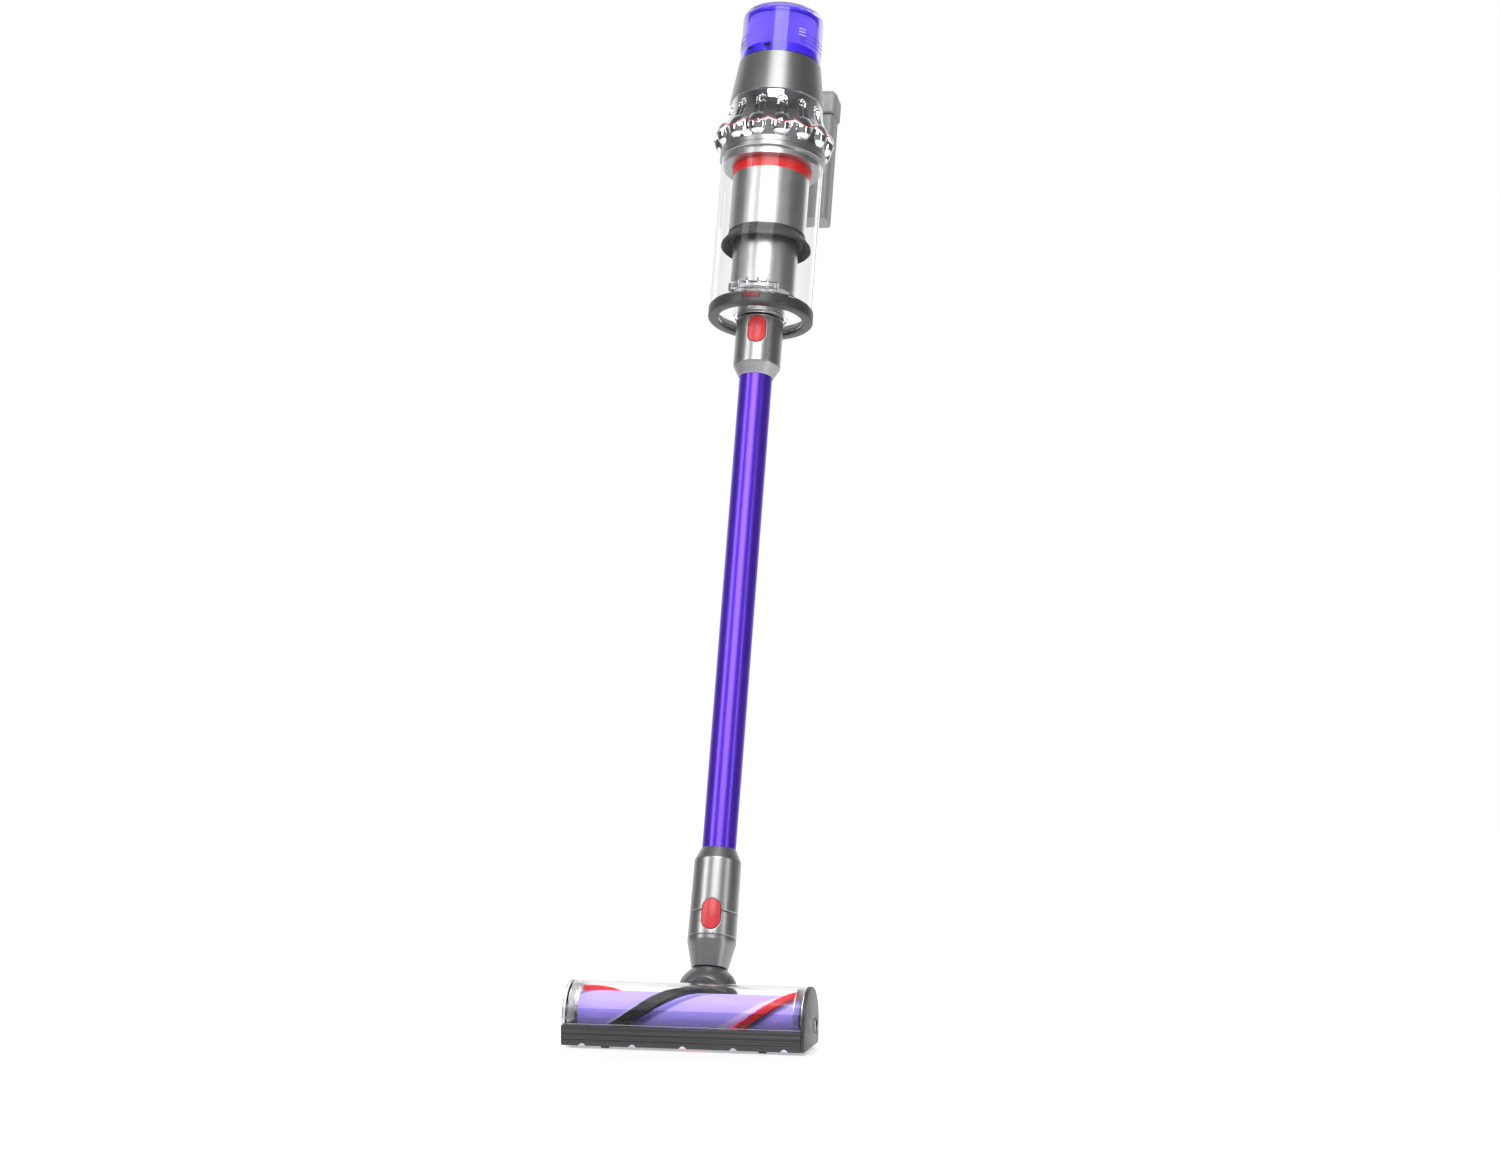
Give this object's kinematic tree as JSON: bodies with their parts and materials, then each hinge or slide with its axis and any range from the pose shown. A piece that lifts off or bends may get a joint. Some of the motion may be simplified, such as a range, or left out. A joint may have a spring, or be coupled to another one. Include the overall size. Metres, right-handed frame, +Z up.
{
  "type": "upright vacuum cleaner",
  "caption": "Cordless stick vacuum cleaner with a leaning wand, clear cyclone bin, filter, battery handle and a powered roller head that pitches and swivels.",
  "frame": {"origin": "on the floor, in the middle of the felt strip under the roller head", "axes": "+Z up, +X along the roller head to its removable end cap, -Y towards the front of the machine; the wand leans back towards +Y"},
  "size_m": [0.2506, 0.6906, 1.0927],
  "materials": {
    "nickel": "metallic paint, satin",
    "shroud_steel": "perforated steel mesh",
    "chrome": "metallised plastic, mirror bright",
    "chrome_steel": "polished steel",
    "zinc": "die cast",
    "brass": "plated contacts",
    "spring_steel": "wound wire",
    "dark_plastic": "fine grain",
    "neck_grey": "satin grey",
    "grey_plastic": "fine grain, light grey",
    "screen": "black glass-like",
    "board": "solder mask",
    "cell_wrap": "shrink sleeve",
    "black_rubber": "matt",
    "clear_dark": "moulded",
    "red_plastic": "satin red",
    "red_button": "satin red",
    "red_ring": "satin red",
    "violet_anodised": "anodised violet",
    "violet_plastic": "deep violet",
    "filter_shell": "clear violet moulding",
    "filter_paper": "pleated paper",
    "clear_plastic": "clear polycarbonate",
    "felt": "woven pile",
    "roller_violet": "short violet pile",
    "dark_fibre": "carbon fibre filaments",
    "red_bristle": "nylon bristles"
  },
  "bodies": {
    "main_unit": {"motor_housing": "nickel", "display_post": "dark_plastic", "display_glass": "screen", "motor_can": "zinc", "motor_bearings": "chrome_steel", "circuit_board": "board", "cyclone_crown": "chrome", "cyclone_trim": "red_plastic", "cyclone_bowls": "chrome", "cyclone_cones": "clear_dark", "bin_collar": "nickel", "collar_seal": "red_ring", "shroud": "shroud_steel", "shroud_skirt": "black_rubber", "inner_core": "nickel", "inlet_duct": "dark_plastic", "handle": "grey_plastic", "battery_contacts": "brass", "trigger_spring": "spring_steel"},
    "rotor": {"motor_rotor": "zinc"},
    "mode_key": {"mode_button": "chrome_steel"},
    "filter_slider": {"filter_seal": "black_rubber"},
    "filter_unit": {"filter_cap": "filter_shell", "filter_frame": "violet_plastic", "filter_media": "filter_paper"},
    "trigger_lever": {"trigger": "red_plastic"},
    "release_slider": {"bin_release": "red_plastic"},
    "bin": {"clear_bin": "clear_plastic", "latch_housing": "clear_plastic", "base_pin": "chrome_steel"},
    "bin_base": {"base_ring": "dark_plastic", "base_window": "clear_plastic", "base_seal": "black_rubber"},
    "base_catch_key": {"base_catch": "red_plastic"},
    "battery": {"battery_case": "grey_plastic", "battery_cells": "cell_wrap"},
    "battery_key": {"battery_catch": "red_plastic"},
    "wand": {"upper_collar": "nickel", "wand_tube": "violet_anodised", "lower_collar": "nickel"},
    "upper_key": {"upper_button": "red_button"},
    "neck_socket": {"neck_sleeve": "nickel"},
    "lower_key": {"lower_button": "red_button"},
    "neck_body": {"neck": "neck_grey", "elbow": "neck_grey", "pivot_pins": "chrome_steel"},
    "head": {"head_shell": "dark_plastic", "front_strip": "dark_plastic", "clear_cover": "clear_plastic", "sole_felt": "felt", "drive_motor": "zinc"},
    "wheel_front_left": {"front_roller_left": "black_rubber"},
    "wheel_front_right": {"front_roller_right": "black_rubber"},
    "wheel_rear_left": {"rear_wheel_left": "black_rubber"},
    "wheel_rear_right": {"rear_wheel_right": "black_rubber"},
    "end_unit": {"end_cap": "dark_plastic"},
    "end_key": {"end_lock": "neck_grey"},
    "brush": {"brush_tube": "roller_violet", "fibre_strips": "dark_fibre", "bristle_strips": "red_bristle"}
  },
  "joints": [
    {"name": "rotor_spin", "type": "hinge", "parent": "main_unit", "child": "rotor", "pos_m": [0, 0.40072, 0.97636], "axis": [0, 0.3502, 0.9367], "continuous": true},
    {"name": "mode_press", "type": "slide", "parent": "main_unit", "child": "mode_key", "axis": [0, -0.3502, -0.9367], "range_m": [0, 0.0008], "stiffness_N_per_m": 400},
    {"name": "filter_pull", "type": "slide", "parent": "main_unit", "child": "filter_slider", "axis": [0, 0.3502, 0.9367], "range_m": [0, 0.07]},
    {"name": "filter_twist", "type": "hinge", "parent": "filter_slider", "child": "filter_unit", "pos_m": [0, 0.41753, 1.02132], "axis": [0, 0.3502, 0.9367], "range_deg": [-25, 0]},
    {"name": "trigger_squeeze", "type": "slide", "parent": "main_unit", "child": "trigger_lever", "axis": [0, 0.3502, 0.9367], "range_m": [0, 0.004], "stiffness_N_per_m": 600, "deforming": ["trigger_spring"]},
    {"name": "release_press", "type": "slide", "parent": "main_unit", "child": "release_slider", "axis": [0, -0.3502, -0.9367], "range_m": [0, 0.008], "stiffness_N_per_m": 200},
    {"name": "bin_slide", "type": "slide", "parent": "main_unit", "child": "bin", "axis": [0, -0.3502, -0.9367], "range_m": [0, 0.055]},
    {"name": "flap_hinge", "type": "hinge", "parent": "bin", "child": "bin_base", "pos_m": [0, 0.37112, 0.72415], "axis": [1, 0, 0], "range_deg": [0, 6]},
    {"name": "base_catch_press", "type": "slide", "parent": "bin_base", "child": "base_catch_key", "axis": [0, 0.9367, -0.3502], "range_m": [0, 0.002], "stiffness_N_per_m": 300},
    {"name": "battery_slide", "type": "slide", "parent": "main_unit", "child": "battery", "axis": [0, -0.3502, -0.9367], "range_m": [0, 0.14]},
    {"name": "battery_catch_press", "type": "slide", "parent": "battery", "child": "battery_key", "axis": [0, -0.3502, -0.9367], "range_m": [0, 0.003], "stiffness_N_per_m": 300},
    {"name": "wand_pull", "type": "slide", "parent": "main_unit", "child": "wand", "axis": [0, -0.3502, -0.9367], "range_m": [0, 0.045]},
    {"name": "upper_button_press", "type": "slide", "parent": "wand", "child": "upper_key", "axis": [-0.0958, 0.9324, -0.3486], "range_m": [0, 0.002], "stiffness_N_per_m": 400},
    {"name": "neck_pull", "type": "slide", "parent": "wand", "child": "neck_socket", "axis": [0, -0.3502, -0.9367], "range_m": [0, 0.045]},
    {"name": "lower_button_press", "type": "slide", "parent": "neck_socket", "child": "lower_key", "axis": [-0.0958, 0.9324, -0.3486], "range_m": [0, 0.002], "stiffness_N_per_m": 400},
    {"name": "neck_swivel", "type": "hinge", "parent": "neck_socket", "child": "neck_body", "pos_m": [0, 0.07131, 0.09533], "axis": [0, 0.3502, 0.9367], "range_deg": [-80, 80]},
    {"name": "head_pitch", "type": "hinge", "parent": "neck_body", "child": "head", "pos_m": [0, 0.051, 0.041], "axis": [1, 0, 0], "range_deg": [-20.5, 55]},
    {"name": "front_left_spin", "type": "hinge", "parent": "head", "child": "wheel_front_left", "pos_m": [-0.081, -0.059, 0.004], "axis": [1, 0, 0], "continuous": true},
    {"name": "front_right_spin", "type": "hinge", "parent": "head", "child": "wheel_front_right", "pos_m": [0.081, -0.059, 0.004], "axis": [1, 0, 0], "continuous": true},
    {"name": "rear_left_spin", "type": "hinge", "parent": "head", "child": "wheel_rear_left", "pos_m": [-0.0368, 0.051, 0.012], "axis": [1, 0, 0], "continuous": true},
    {"name": "rear_right_spin", "type": "hinge", "parent": "head", "child": "wheel_rear_right", "pos_m": [0.0368, 0.051, 0.012], "axis": [1, 0, 0], "continuous": true},
    {"name": "end_cap_pull", "type": "slide", "parent": "head", "child": "end_unit", "axis": [1, 0, 0], "range_m": [0, 0.25]},
    {"name": "end_lock_turn", "type": "hinge", "parent": "end_unit", "child": "end_key", "pos_m": [0.125, -0.009, 0.022], "axis": [1, 0, 0], "range_deg": [0, 90]},
    {"name": "brush_spin", "type": "hinge", "parent": "end_unit", "child": "brush", "pos_m": [0, -0.028, 0.031], "axis": [1, 0, 0], "continuous": true}
  ]
}
